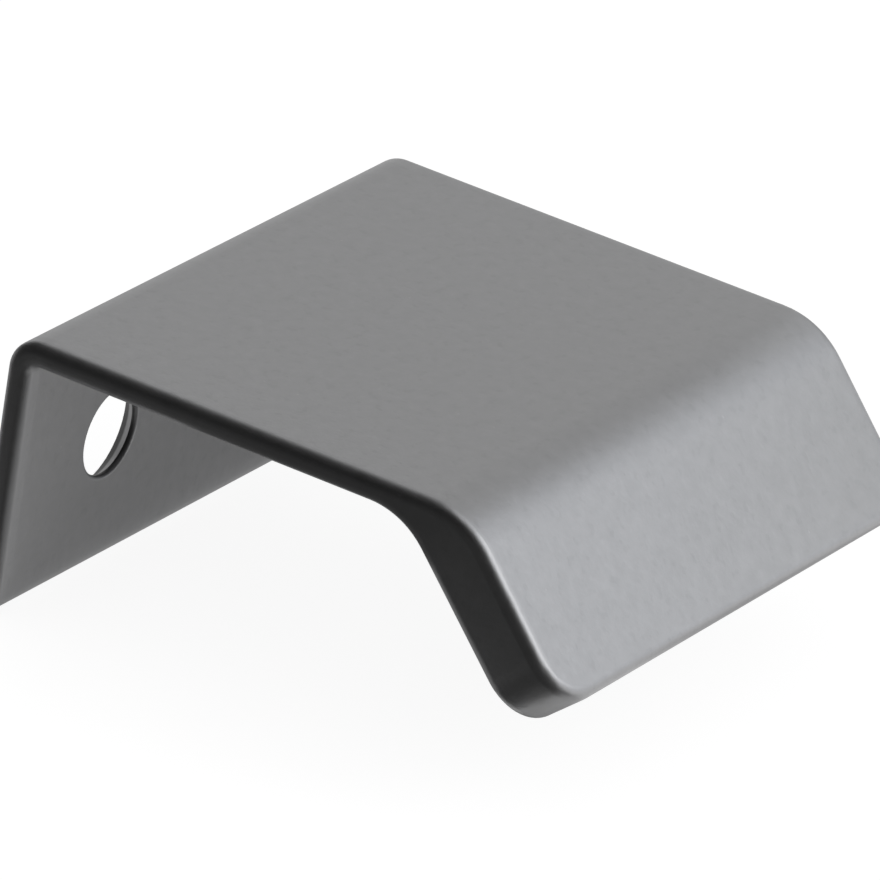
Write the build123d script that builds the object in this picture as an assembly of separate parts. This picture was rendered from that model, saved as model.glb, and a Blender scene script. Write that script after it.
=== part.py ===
from build123d import *
import math
import os

# Edge tab pull for a door or drawer front: one piece of metal of constant side outline.
# The flange hangs behind the front and takes two countersunk screws, the flat top lies over
# its edge, and the thicker lip slopes down in front as a finger grip.
# Millimetres. X runs along the width, -Y points towards the lip, +Z is up. The origin is midway
# between the screw holes, on the inner face of the flange that meets the back of the front.

# The whole pull
width = 38.0                # along X
edge_radius = 0.65          # rounding of every outer rim
toe_corner_radius = 3.15    # the lip's two lower corners, seen square to the lip

# Flange
flange_thickness = 1.45
flange_height = 16.35       # top surface to the flange's lower edge
back_bend_radius = 1.85     # outside of the bend between flange and top
back_corner_radius = 0.6    # inside of the same bend

# Top
top_thickness = 1.45
top_depth = 29.1            # flange's outer face to the sharp corner of top and lip

# Lip
lip_slope = 48.7            # degrees below level
lip_length = 11.6           # down its outer face, from the same sharp corner
lip_thickness = 3.8         # halfway down
lip_draft = 0.6             # degrees by which its inner face closes in towards the toe
front_bend_radius = 5.3     # outside of the bend between top and lip
front_corner_radius = 4.7   # inside of the same bend

# Screw holes
hole_spacing = 18.3
hole_drop = 8.5             # top surface down to the line of the holes
hole_diameter = 5.0
hole_land = 0.3             # straight wall left between the countersink and the inner face
countersink_angle = 90.0    # included
hole_rim_radius = 0.25      # rounding of the hole where it opens in the inner face

largest_share = 0.45        # most of a wall that the rounding of one of its edges may take

top_z = hole_drop
foot_z = top_z - flange_height
slope = math.radians(lip_slope)
down_lip = Vector(0, -math.cos(slope), -math.sin(slope))
out_of_lip = Vector(0, -math.sin(slope), math.cos(slope))
front_corner = Vector(0, flange_thickness - top_depth, top_z)


def rounding(radius, wall):
    """A rounding radius that leaves a flat between the two edges of its wall."""
    return min(radius, largest_share * wall)


def lip_inner_face():
    """A point on the lip's inner face, halfway down, and the direction of that face."""
    point = front_corner + down_lip * (lip_length / 2) - out_of_lip * lip_thickness
    angle = slope - math.radians(lip_draft)
    return point, Vector(0, -math.cos(angle), -math.sin(angle))


def side_outline():
    """The side outline as a face in the YZ plane: flange, top and lip with their bends."""
    inner_point, down_inner = lip_inner_face()
    under_z = top_z - top_thickness
    inner_corner = inner_point + down_inner * ((under_z - inner_point.Z) / down_inner.Z)
    toe_outer = front_corner + down_lip * lip_length
    reach = (toe_outer - inner_point).dot(down_lip) / down_inner.dot(down_lip)
    toe_inner = inner_point + down_inner * reach
    corners = [
        ((flange_thickness, foot_z), 0),
        ((flange_thickness, top_z), back_bend_radius),
        ((front_corner.Y, front_corner.Z), front_bend_radius),
        ((toe_outer.Y, toe_outer.Z), 0),
        ((toe_inner.Y, toe_inner.Z), 0),
        ((inner_corner.Y, inner_corner.Z), front_corner_radius),
        ((0, under_z), back_corner_radius),
        ((0, foot_z), 0),
    ]
    points = [point for point, _ in corners]
    radii = [radius for _, radius in corners]
    return Plane.YZ * make_face(FilletPolyline(*points, radius=radii, close=True))


def blank():
    """The pull before its rims are rounded: the outline drawn to full width, toe corners cut."""
    body = extrude(side_outline(), amount=width / 2, both=True)
    toe = body.faces().sort_by(Axis((0, 0, 0), tuple(down_lip)))[-1]
    return fillet(toe.edges().filter_by(Axis.X, reverse=True), toe_corner_radius)


def rims(body):
    """The sharp edges: around both sides, along the foot of the flange and around the toe."""
    across_lip = Axis((0, 0, 0), tuple(out_of_lip))
    sides = body.faces().filter_by(Axis.X)
    foot = body.faces().filter_by(Axis.Z).sort_by(Axis.Z)[0]
    toe = body.faces().filter_by(Axis((0, 0, 0), tuple(down_lip)))
    bounded = sides.edges() + foot.edges() + toe.edges() + toe_corners(body).edges()
    seams = body.edges().filter_by(across_lip)
    return ShapeList(edge for edge in body.edges() if edge in bounded and edge not in seams)


def toe_corners(body):
    """The two round corner faces of the toe."""
    round_faces = body.faces().filter_by(GeomType.CYLINDER)
    return round_faces.filter_by(lambda face: abs(face.axis_of_rotation.direction.X) < 0.5)


def screw_holes():
    """Cutters for both screw holes, each opening by a countersink in the flange's outer face."""
    hole_radius = hole_diameter / 2
    sink_depth = flange_thickness - hole_land
    sink_radius = hole_radius + sink_depth * math.tan(math.radians(countersink_angle / 2))
    outer_face = Plane(origin=(0, flange_thickness, 0), x_dir=(1, 0, 0), z_dir=(0, 1, 0))
    hole = CounterSinkHole(
        hole_radius, sink_radius, depth=flange_thickness * 2, counter_sink_angle=countersink_angle
    )
    return outer_face * GridLocations(hole_spacing, 0, 2, 1) * hole


def tab_pull():
    """The finished pull."""
    body = blank()
    body = fillet(rims(body), rounding(edge_radius, min(flange_thickness, top_thickness)))
    body -= screw_holes()
    mouths = body.edges().filter_by(GeomType.CIRCLE).filter_by_position(Axis.Y, -0.01, 0.01)
    mouths = mouths.filter_by(lambda edge: abs(edge.radius - hole_diameter / 2) < 0.01)
    return fillet(mouths, rounding(hole_rim_radius, 2 * hole_land))


os.makedirs("parts", exist_ok=True)
pull = tab_pull()
pull.label = "tab_pull"
export_step(pull, "parts/tab_pull.step")
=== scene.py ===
"""An edge tab pull in satin grey metal: its finish, a plain studio and the camera, as an add-on."""

import math

import bpy
import numpy as np
from mathutils import Matrix, Vector


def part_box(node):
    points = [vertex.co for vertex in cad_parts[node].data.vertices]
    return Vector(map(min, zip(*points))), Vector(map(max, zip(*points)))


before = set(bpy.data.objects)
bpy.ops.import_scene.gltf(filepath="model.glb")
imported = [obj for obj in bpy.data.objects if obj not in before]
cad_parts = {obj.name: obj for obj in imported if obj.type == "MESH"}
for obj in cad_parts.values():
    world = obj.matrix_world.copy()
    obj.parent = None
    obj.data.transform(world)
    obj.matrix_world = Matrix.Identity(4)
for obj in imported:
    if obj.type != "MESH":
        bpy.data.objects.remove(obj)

bl_info = {
    "name": "Tab Pull",
    "version": (1, 0, 0),
    "blender": (4, 5, 0),
    "location": "View3D > Sidebar > Tab Pull",
    "description": "Finishes and lights a metal edge pull",
    "category": "Object",
}

MM = 0.001
PULL = "tab_pull"
OBJECT_COORDINATES = 3      # its place among the outputs of a Texture Coordinate node
LOW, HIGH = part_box(PULL)
CENTRE = (LOW + HIGH) / 2


class Maths:
    """A socket that can be written in sums: each operator adds one Math node and wraps it."""

    def __init__(self, shader, socket):
        self.shader, self.socket = shader, socket

    def math(self, operation, other, swap=False, clamp=False):
        """A Math node on this value and another, or on the other and this one."""
        first, second = (other, self) if swap else (self, other)
        settings = {"operation": operation, "use_clamp": clamp}
        return self.shader.add("ShaderNodeMath", settings, {0: first, 1: second})[0]

    def __add__(self, other):
        return self.math("ADD", other)

    def __radd__(self, other):
        return self.math("ADD", other, swap=True)

    def __sub__(self, other):
        return self.math("SUBTRACT", other)

    def __rsub__(self, other):
        return self.math("SUBTRACT", other, swap=True)

    def __mul__(self, other):
        return self.math("MULTIPLY", other)

    def __rmul__(self, other):
        return self.math("MULTIPLY", other, swap=True)

    def __gt__(self, other):
        return self.math("GREATER_THAN", other)

    def __lt__(self, other):
        return self.math("LESS_THAN", other)

    def ramp(self, low, high):
        """0 below low, 1 above high and smooth between them."""
        return self.shader.add(
            "ShaderNodeMapRange", {"interpolation_type": "SMOOTHSTEP"},
            {"Value": self, "From Min": low, "From Max": high})[0]


class Shader:
    """A node tree that is built by one call for each node."""

    def __init__(self, tree):
        self.tree = tree
        tree.nodes.clear()

    def add(self, kind, settings=None, inputs=None):
        """Adds a node, its settings first and then its sockets, and returns its outputs by place.

        An input is a value or a wrapped socket, and is named by its name or its place.
        """
        node = self.tree.nodes.new(kind)
        for name, value in (settings or {}).items():
            setattr(node, name, value)
        for name, value in (inputs or {}).items():
            if isinstance(value, Maths):
                self.tree.links.new(value.socket, node.inputs[name])
            else:
                node.inputs[name].default_value = value
        return [Maths(self, socket) for socket in node.outputs if socket.enabled]

    def mix_colour(self, factor, first, second):
        """A colour between two colours. Places 6 and 7 are the Mix node's colour sockets."""
        return self.add(
            "ShaderNodeMix", {"data_type": "RGBA"}, {0: factor, 6: first, 7: second})[0]

    def noise(self, place, size, detail, roughness):
        """Noise whose features are about a size across."""
        return self.add(
            "ShaderNodeTexNoise", None,
            {"Vector": place, "Scale": 1 / size, "Detail": detail, "Roughness": roughness})[0]


def new_material(name):
    """A material with an empty node tree, and its builder."""
    material = bpy.data.materials.new(name)
    material.use_nodes = True
    return material, Shader(material.node_tree)


def grey(level):
    """A neutral colour of one level."""
    return (level, level, level, 1.0)


def toned(colour, share):
    """A share of a colour."""
    return (*[share * level for level in colour], 1.0)


def direction(azimuth, rise):
    """The unit vector towards a compass angle, from +Y towards +X, and an angle above level."""
    flat = math.cos(rise)
    return Vector((math.sin(azimuth) * flat, math.cos(azimuth) * flat, math.sin(rise)))


def grid_mesh(name, points):
    """A mesh object from points of shape rows x columns x 3, with one quad between neighbours."""
    rows, columns = points.shape[:2]
    index = np.arange(rows * columns).reshape(rows, columns)
    quads = np.stack([index[:-1, :-1], index[1:, :-1], index[1:, 1:], index[:-1, 1:]], -1)
    mesh = bpy.data.meshes.new(name)
    mesh.from_pydata(points.reshape(-1, 3).tolist(), [], quads.reshape(-1, 4).tolist())
    made = bpy.data.objects.new(name, mesh)
    bpy.context.scene.collection.objects.link(made)
    return made


class TabPullFinish(bpy.types.PropertyGroup):
    """Colours and sizes of the satin metal."""

    metal: bpy.props.FloatVectorProperty(
        name="Metal", description="Colour of the satin metal", subtype="COLOR", size=3,
        default=(0.42, 0.42, 0.425), min=0, max=1)
    roughness: bpy.props.FloatProperty(
        name="Roughness", description="How widely the metal spreads a reflection",
        default=0.42, min=0, max=1)
    mottle: bpy.props.FloatProperty(
        name="Mottle", description="Size of the faint clouds in the finish", unit="LENGTH",
        default=0.95 * MM)
    blotch: bpy.props.FloatProperty(
        name="Blotch", description="Size of the small soft blotches", unit="LENGTH",
        default=0.65 * MM)
    grain: bpy.props.FloatProperty(
        name="Grain", description="Size of the blasted grain", unit="LENGTH", default=0.12 * MM)
    nib_spacing: bpy.props.FloatProperty(
        name="Nib spacing", description="Size of the cells that may each hold a bright nib",
        unit="LENGTH", default=1.2 * MM)
    pore_spacing: bpy.props.FloatProperty(
        name="Pore spacing", description="Size of the cells that may each hold a dark pore",
        unit="LENGTH", default=0.9 * MM)
    spot: bpy.props.FloatProperty(
        name="Spot", description="Radius of a nib or a pore", unit="LENGTH", default=0.12 * MM)
    hole_across: bpy.props.FloatProperty(
        name="Hole across", description="From the middle of the pull to each screw hole's axis",
        unit="LENGTH", default=9.15 * MM)
    cut_edge: bpy.props.FloatProperty(
        name="Cut edge", description="Radius of the countersink where it opens",
        unit="LENGTH", default=3.66 * MM)
    # Painted shade: the outer part of each countersink, from this radius out, is painted darker.
    hole_shade_start: bpy.props.FloatProperty(
        name="Cut start", description="Radius in the countersink at which its darker cut begins",
        unit="LENGTH", default=3.0 * MM)
    # Painted shade: each hole's inner rim is painted darker out to this radius.
    mouth_edge: bpy.props.FloatProperty(
        name="Mouth edge", description="Radius up to which the hole's inner rim shows darker",
        unit="LENGTH", default=2.72 * MM)
    rim_start: bpy.props.FloatProperty(
        name="Rim start", description="Distance from each side at which the faces start to fall",
        unit="LENGTH", default=0.95 * MM)
    rim_end: bpy.props.FloatProperty(
        name="Rim end", description="Distance from each side at which that fall ends",
        unit="LENGTH", default=0.3 * MM)
    rim_fall: bpy.props.FloatProperty(
        name="Rim fall", description="Height by which the faces fall off towards each side",
        unit="LENGTH", default=0.03 * MM)
    flange_rim_start: bpy.props.FloatProperty(
        name="Flange rim start", unit="LENGTH", default=1.45 * MM,
        description="Distance from each side at which the flange starts to fall")
    flange_rim_end: bpy.props.FloatProperty(
        name="Flange rim end", unit="LENGTH", default=0.75 * MM,
        description="Distance from each side at which the flange's fall ends")


class TabPullStudio(bpy.types.PropertyGroup):
    """Sizes and levels of the floor, the sky, the cards and the softbox."""

    floor_drop: bpy.props.FloatProperty(
        name="Floor drop", description="Gap between the flange's foot and the floor",
        unit="LENGTH", default=0.2 * MM)
    floor_side: bpy.props.FloatProperty(
        name="Floor side", description="Length of each side of the floor",
        unit="LENGTH", default=4.0)
    floor_grey: bpy.props.FloatProperty(
        name="Floor grey", description="Share of the light that the floor sends back",
        default=0.2, min=0, max=1)
    floor_glow: bpy.props.FloatProperty(
        name="Floor glow", description="The floor's own white, which brings the lit floor up to 1",
        default=0.9, min=0, max=1)
    sky: bpy.props.FloatProperty(
        name="Sky", description="Even light on the floor", default=0.6, min=0, max=1)
    reach: bpy.props.FloatProperty(
        name="Reach", description="Distance of the standing cards from the pull",
        unit="LENGTH", default=0.6)
    box_side: bpy.props.FloatProperty(
        name="Softbox side", description="Length of each side of the softbox",
        unit="LENGTH", default=0.27)
    box_power: bpy.props.FloatProperty(
        name="Softbox power", description="Power of the softbox in watts", default=0.355)
    box_place: bpy.props.FloatVectorProperty(
        name="Softbox place", description="Centre of the softbox from the middle of the pull",
        subtype="TRANSLATION", size=3, default=(0.1825, -0.358, 0.297))


class TabPullCamera(bpy.types.PropertyGroup):
    """The camera's lens, where it stands and what it aims at."""

    azimuth: bpy.props.FloatProperty(
        name="Azimuth", description="Compass angle of the view, from +Y towards +X",
        subtype="ANGLE", default=math.radians(61.810))
    fall: bpy.props.FloatProperty(
        name="Fall", description="Angle by which the view looks down", subtype="ANGLE",
        default=math.radians(24.397))
    roll: bpy.props.FloatProperty(
        name="Roll", description="Turn of the picture about the view", subtype="ANGLE",
        default=math.radians(9.107))
    distance: bpy.props.FloatProperty(
        name="Distance", description="From the camera to the point it aims at",
        unit="LENGTH", default=648.26 * MM)
    lens: bpy.props.FloatProperty(
        name="Lens", description="Focal length in millimetres", default=485.94)
    aim: bpy.props.FloatVectorProperty(
        name="Aim", description="The point in the middle of the picture", subtype="TRANSLATION",
        size=3, default=(0.141 * MM, -15.204 * MM, 2.288 * MM))


class TABPULL_OT_finish(bpy.types.Operator):
    """Give the pull its satin metal"""

    bl_idname = "tabpull.finish"
    bl_label = "Finish the pull"

    def execute(self, context):
        sizes = context.scene.tab_pull_finish
        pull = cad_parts[PULL]
        pull.data.materials.clear()
        pull.data.materials.append(satin_metal(sizes))
        return {"FINISHED"}


# The finish: tones as shares of the metal's colour, the third of them for the painted shade in the
# screw holes, then how much each mark adds to the tone between dark and light, and to the height of
# the peel.
DARK, LIGHT, HOLE_SHADE = 0.9, 1.1, 0.15
CLOUD_TONE, GRAIN_TONE, BLOTCH_TONE = 0.9, 0.08, 0.2
CLOUD_PEEL, BLOTCH_PEEL, FLECK_PEEL = 0.7, 0.12, 0.5
PEEL_HEIGHT, PEEL_STRENGTH = 0.045 * MM, 0.5
CLOUD_ROUGHNESS = 0.06
# Light blotches show where their noise is low, dark ones where it is high, at twice the strength.
LOW_NOISE, HIGH_NOISE, LIGHT_BLOTCH = (0.28, 0.42), (0.58, 0.72), 0.5
# Nibs are light and pores dark: how much, and the share of the cells that hold one. Each is full
# up to a fifth of its radius.
NIB, PORE = 0.5, 0.3
NIB_SHARE, PORE_SHARE = 0.16, 0.12
SPOT_CORE = 0.2
# Screw holes: the painted shade of the inner rim as a share of the painted shade in the
# countersink, places along Y just past the land and just before the flange, and how wide the
# borders of the painted shade in the countersink and of the rim are.
MOUTH_SHADE = 0.75
LAND_END, FLANGE_START = 0.31 * MM, -1 * MM
HOLE_SHADE_BORDER, MOUTH_BORDER = (-0.1 * MM, 0.15 * MM), 0.12 * MM
# Places along Y between which the flange's own fall towards its sides sets in.
FLANGE_FADE = (-1.5 * MM, -0.3 * MM)


def spots(shader, place, spacing, radius, share):
    """1 at scattered points and 0 a radius away: a share of the Voronoi cells holds one each."""
    away, cell = shader.add(
        "ShaderNodeTexVoronoi", None,
        {"Vector": place, "Scale": 1 / spacing, "Randomness": 1.0})[:2]
    lot = shader.add("ShaderNodeSeparateColor", None, {"Color": cell})[0]
    reach = radius / spacing
    return (1 - away.ramp(SPOT_CORE * reach, reach)) * (lot < share)


def painted_hole_shade(shader, place, sizes):
    """Painted shade in each screw hole: 1 in the outer part of its countersink, less on its inner
    rim.

    With r = sqrt((|x| - hole_across)^2 + z^2), the countersink's painted shade lies between its
    start radius and cut_edge past the land, and the rim's painted shade within mouth_edge before
    its end.
    """
    x, y, z = shader.add("ShaderNodeSeparateXYZ", None, {"Vector": place})
    across = x.math("ABSOLUTE", 0.0) - sizes.hole_across
    radius = (across * across + z * z).math("SQRT", 0.0)
    outside = y > LAND_END
    inside = (y > FLANGE_START) - outside
    # Painted shade in the outer part of the countersink, and on the inner rim at a lesser share.
    sink_shade = radius.ramp(*[sizes.hole_shade_start + border for border in HOLE_SHADE_BORDER])
    rim = 1 - radius.ramp(sizes.mouth_edge - MOUTH_BORDER, sizes.mouth_edge)
    return sink_shade * (radius < sizes.cut_edge) * outside + rim * inside * MOUTH_SHADE


def rim_height(shader, place, sizes):
    """Height that falls off softly towards each side, from further in on the flange's inner face.

    h = 1 - ramp(|x|; half the width - rim_start, half the width - rim_end), less a second such
    ramp that fades in along FLANGE_FADE, behind the underside of the top.
    """
    x, y, _ = shader.add("ShaderNodeSeparateXYZ", None, {"Vector": place})
    side = x.math("ABSOLUTE", 0.0)
    everywhere = side.ramp(HIGH.x - sizes.rim_start, HIGH.x - sizes.rim_end)
    on_flange = side.ramp(HIGH.x - sizes.flange_rim_start, HIGH.x - sizes.flange_rim_end)
    return 1 - everywhere - on_flange * y.ramp(*FLANGE_FADE)


def satin_metal(sizes):
    """Coated metal: clouds of tone, fine grain, soft blotches and peel, a few nibs and pores, and
    painted shade in the screw holes.
    """
    material, shader = new_material("satin_metal")
    place = shader.add("ShaderNodeTexCoord")[OBJECT_COORDINATES]
    clouds = shader.noise(place, sizes.mottle, 3.0, 0.6)
    grain = shader.noise(place, sizes.grain, 2.0, 0.6)
    patches = shader.noise(place, sizes.blotch, 1.0, 0.5)
    blotches = (1 - patches.ramp(*LOW_NOISE)) * LIGHT_BLOTCH - patches.ramp(*HIGH_NOISE)
    nibs = spots(shader, place, sizes.nib_spacing, sizes.spot, NIB_SHARE)
    pores = spots(shader, place, sizes.pore_spacing, sizes.spot, PORE_SHARE)
    flecks = nibs * NIB - pores * PORE
    tone = ((clouds - 0.5) * CLOUD_TONE + (grain - 0.5) * GRAIN_TONE + blotches * BLOTCH_TONE
            + flecks + 0.5)
    finish = shader.mix_colour(tone, toned(sizes.metal, DARK), toned(sizes.metal, LIGHT))
    # Painted shade: the screw holes' countersinks and inner rims are painted darker.
    colour = shader.mix_colour(painted_hole_shade(shader, place, sizes), finish, toned(sizes.metal, HOLE_SHADE))
    peel = clouds * CLOUD_PEEL + blotches * BLOTCH_PEEL + flecks * FLECK_PEEL
    soft = shader.add(
        "ShaderNodeBump", None,
        {"Height": rim_height(shader, place, sizes), "Strength": 1.0,
         "Distance": sizes.rim_fall})[0]
    bump = shader.add(
        "ShaderNodeBump", None,
        {"Height": peel, "Strength": PEEL_STRENGTH, "Distance": PEEL_HEIGHT, "Normal": soft})[0]
    surface = shader.add(
        "ShaderNodeBsdfPrincipled", None,
        {"Base Color": colour, "Metallic": 1.0,
         "Roughness": (clouds - 0.5) * CLOUD_ROUGHNESS + sizes.roughness, "Normal": bump})[0]
    shader.add("ShaderNodeOutputMaterial", None, {"Surface": surface})
    return material


class TABPULL_OT_studio(bpy.types.Operator):
    """Lay the pale floor and set up the sky, the cards and the softbox"""

    bl_idname = "tabpull.studio"
    bl_label = "Set up the studio"

    def execute(self, context):
        sizes = context.scene.tab_pull_studio
        lay_floor(sizes)
        white_sky(sizes)
        floor = LOW.z - sizes.floor_drop
        for row in DOME_CARDS:
            dome_card(*row, sizes.reach)
        for row in LEVEL_CARDS:
            level_card(*row, floor)
        ring_card(*RING_CARD, floor)
        softbox(sizes)
        return {"FINISHED"}


def seen(shader):
    """1 where a camera, glossy or transmission ray arrives, and 0 for any other ray."""
    path = {socket.socket.name: socket for socket in shader.add("ShaderNodeLightPath")}
    return (path["Is Camera Ray"] + path["Is Glossy Ray"]).math(
        "ADD", path["Is Transmission Ray"], clamp=True)


def lay_floor(sizes):
    """A flat square floor just under the flange's foot."""
    across = np.array([-0.5, 0.5]) * sizes.floor_side
    x, y = np.meshgrid(across + CENTRE.x, across + CENTRE.y, indexing="ij")
    level = np.full_like(x, LOW.z - sizes.floor_drop)
    floor = grid_mesh("floor", np.stack([x, y, level], -1))
    material, shader = new_material("pale_floor")
    lit = shader.add("ShaderNodeBsdfDiffuse", None, {"Color": grey(sizes.floor_grey)})[0]
    glow = shader.add(
        "ShaderNodeEmission", None,
        {"Color": grey(1.0), "Strength": seen(shader) * sizes.floor_glow})[0]
    both = shader.add("ShaderNodeAddShader", None, {0: lit, 1: glow})[0]
    shader.add("ShaderNodeOutputMaterial", None, {"Surface": both})
    floor.data.materials.append(material)


def white_sky(sizes):
    """White where the camera or a reflection looks, and a dimmer even light elsewhere."""
    world = bpy.data.worlds.new("studio_sky")
    bpy.context.scene.world = world
    world.use_nodes = True
    shader = Shader(world.node_tree)
    strength = seen(shader) * (1 - sizes.sky) + sizes.sky
    sky = shader.add("ShaderNodeBackground", None, {"Color": grey(1.0), "Strength": strength})[0]
    shader.add("ShaderNodeOutputWorld", None, {"Surface": sky})


# Standing cards, pieces of one sphere about the pull: name, limits of the compass angle, limits of
# the angle above level, both in degrees, and the card's colour, one number for a neutral one.
DOME_CARDS = (
    ("flag_overhead", (-178, -60), (24, 90), 0.015),
    ("flag_overhead_back", (-60, 30), (24, 90), 0.035),
    ("flag_left", (-178, -75), (-2, 24), 0.055),
    ("flag_low_left", (-75, -20), (-2, 24), 0.03),
    ("flag_back_left", (-20, 25), (-2, 24), 0.05),
    ("card_back_right", (25, 76), (-2, 38), 0.68),
    ("card_right", (76, 101), (-2, 50), 0.47),
    ("card_back_right_mid", (30, 76), (38, 50), 0.40),
    ("card_back_right_high", (30, 76), (50, 62), 0.26),
    ("card_back_right_top", (30, 76), (62, 90), 0.20),
    ("card_front_right", (101, 165), (-2, 60), (0.862, 0.884, 0.925)),
)
# Cards that lie level: name, limits along X, limits along Y and height above the floor, all in
# millimetres, and the card's colour. Those at 0.05 mm are papers on the floor.
LEVEL_CARDS = (
    ("paper_left", (-600, -45), (-600, 600), 0.05, 0.05),
    ("paper_back_left", (-45, -21), (-1, 600), 0.05, 0.09),
    ("paper_near_back", (-45, -20), (-7, -1), 0.05, 0.05),
    ("paper_near", (-28, -17), (-27, -7), 0.05, 0.33),
    ("paper_near_left", (-45, -28), (-27, -7), 0.05, 0.05),
    ("paper_near_lip", (-45, -19), (-110, -27), 0.05, 0.05),
    ("paper_toe", (-19, -10), (-45, -33), 0.05, 0.58),
    ("paper_toe_front", (-19, -10), (-110, -45), 0.05, 0.20),
    ("paper_under_mid", (-17, -6), (-33, -9), 0.05, 0.30),
    ("paper_under_foot", (-20, -17), (-7, -1), 0.05, 0.30),
    ("paper_under_near", (-17, -6), (-9, -1), 0.05, 0.30),
    ("paper_under", (-6, 12), (-33, -1), 0.05, 0.28),
    ("paper_under_far", (12, 45), (-33, -1), 0.05, 0.21),
    ("paper_back", (-21, 120), (-1, 600), 0.05, 0.46),
    ("paper_front", (-10, 90), (-110, -36), 0.05, 0.89),
    ("card_far_bend", (29, 44), (-31, -22), 28.0, (0.76, 0.77, 0.78)),
    ("flag_far_lip", (38, 72), (-68, -44), 28.0, (0.74, 0.75, 0.745)),
    ("flag_under_edge", (-22.5, -17.2), (-24, -8), 11.0, 0.085),
)
# One more paper, a slice of a ring about the foot of the flange's near edge: name, centre along X
# and Y, limits of its radius, limits of the compass angle, height and colour.
RING_CARD = ("paper_streak", (-19, 0), (2, 60), (124, 150), 0.15, 0.62)
# Points along the compass angle and the angle above level of a standing card, and round a ring.
DOME_TURNS, DOME_RISES, RING_TURNS = 25, 13, 9


def card(name, points, colour):
    """A glowing card that only reflections show, on an array of points."""
    made = grid_mesh(name, points)
    material, shader = new_material(name)
    glow = grey(colour) if isinstance(colour, float) else (*colour, 1.0)
    surface = shader.add("ShaderNodeEmission", None, {"Color": glow})[0]
    shader.add("ShaderNodeOutputMaterial", None, {"Surface": surface})
    made.data.materials.append(material)
    made.visible_camera = made.visible_diffuse = made.visible_shadow = False
    made.visible_transmission = made.visible_volume_scatter = False


def dome_card(name, azimuths, rises, colour, reach):
    """A piece of a sphere about the pull, reach away from its middle.

    Every pair of a compass angle a and an angle above level e gives the point
    (sin a cos e, cos a cos e, sin e) * reach.
    """
    turn, rise = np.meshgrid(
        np.radians(np.linspace(*azimuths, DOME_TURNS)),
        np.radians(np.linspace(*rises, DOME_RISES)), indexing="ij")
    way = np.stack([np.sin(turn) * np.cos(rise), np.cos(turn) * np.cos(rise), np.sin(rise)], -1)
    card(name, np.array(CENTRE) + reach * way, colour)


def level_card(name, along_x, along_y, height, colour, floor):
    """A level rectangle: every pair of a limit along X and a limit along Y, at one height."""
    x, y = np.meshgrid(np.array(along_x) * MM, np.array(along_y) * MM, indexing="ij")
    card(name, np.stack([x, y, np.full_like(x, floor + height * MM)], -1), colour)


def ring_card(name, centre, radii, azimuths, height, colour, floor):
    """A level slice of a ring: every pair of a radius r and a compass angle a about its centre.

    The pair gives the point centre + (r sin a, r cos a), at one height.
    """
    radius, turn = np.meshgrid(
        np.array(radii) * MM, np.radians(np.linspace(*azimuths, RING_TURNS)), indexing="ij")
    x, y = centre[0] * MM + radius * np.sin(turn), centre[1] * MM + radius * np.cos(turn)
    card(name, np.stack([x, y, np.full_like(x, floor + height * MM)], -1), colour)


def softbox(sizes):
    """A square lamp beside the camera that looks at the middle of the pull."""
    data = bpy.data.lights.new("softbox", "AREA")
    data.shape = "SQUARE"
    data.size = sizes.box_side
    data.energy = sizes.box_power
    lamp = bpy.data.objects.new("softbox", data)
    away = Vector(sizes.box_place)
    turn = away.to_track_quat("Z", "Y").to_matrix().to_4x4()
    lamp.matrix_world = Matrix.Translation(CENTRE + away) @ turn
    bpy.context.scene.collection.objects.link(lamp)


SENSOR = 36                 # width of the camera's sensor in millimetres


class TABPULL_OT_camera(bpy.types.Operator):
    """Place the camera"""

    bl_idname = "tabpull.camera"
    bl_label = "Place the camera"

    def execute(self, context):
        sizes = context.scene.tab_pull_camera
        ahead = direction(sizes.azimuth, -sizes.fall)
        level = ahead.cross(Vector((0, 0, 1))).normalized()
        turned = Matrix.Rotation(-sizes.roll, 3, ahead) @ level
        above = turned.cross(ahead)
        data = bpy.data.cameras.new("camera")
        data.sensor_width = SENSOR
        data.lens = sizes.lens
        camera = bpy.data.objects.new("camera", data)
        place = Vector(sizes.aim) - ahead * sizes.distance
        turn = Matrix((turned, above, -ahead)).transposed().to_4x4()
        camera.matrix_world = Matrix.Translation(place) @ turn
        context.scene.collection.objects.link(camera)
        context.scene.camera = camera
        context.scene.view_settings.view_transform = "Standard"
        return {"FINISHED"}


class TABPULL_PT_panel(bpy.types.Panel):
    """The pull's pieces and its studio"""

    bl_label = "Tab Pull"
    bl_idname = "TABPULL_PT_panel"
    bl_space_type = "VIEW_3D"
    bl_region_type = "UI"
    bl_category = "Tab Pull"

    def draw(self, context):
        for title, settings, operator in STEPS:
            box = self.layout.box()
            box.label(text=title)
            group = getattr(context.scene, settings)
            for name in group.__annotations__:
                box.prop(group, name)
            box.operator(operator)


STEPS = (
    ("Pull", "tab_pull_finish", "tabpull.finish"),
    ("Studio", "tab_pull_studio", "tabpull.studio"),
    ("Camera", "tab_pull_camera", "tabpull.camera"),
)
SETTINGS = {
    "tab_pull_finish": TabPullFinish,
    "tab_pull_studio": TabPullStudio,
    "tab_pull_camera": TabPullCamera,
}
CLASSES = (
    *SETTINGS.values(),
    TABPULL_OT_finish,
    TABPULL_OT_studio,
    TABPULL_OT_camera,
    TABPULL_PT_panel,
)


def register():
    """Registers the classes and hangs their settings on the scene."""
    for cls in CLASSES:
        bpy.utils.register_class(cls)
    for name, group in SETTINGS.items():
        setattr(bpy.types.Scene, name, bpy.props.PointerProperty(type=group))


def unregister():
    """Takes the settings and the classes away again."""
    for name in SETTINGS:
        delattr(bpy.types.Scene, name)
    for cls in reversed(CLASSES):
        bpy.utils.unregister_class(cls)


def main():
    """Builds everything."""
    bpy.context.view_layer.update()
    register()
    for _, _, operator in STEPS:
        group, name = operator.split(".")
        getattr(getattr(bpy.ops, group), name)()


if __name__ == "__main__":
    main()
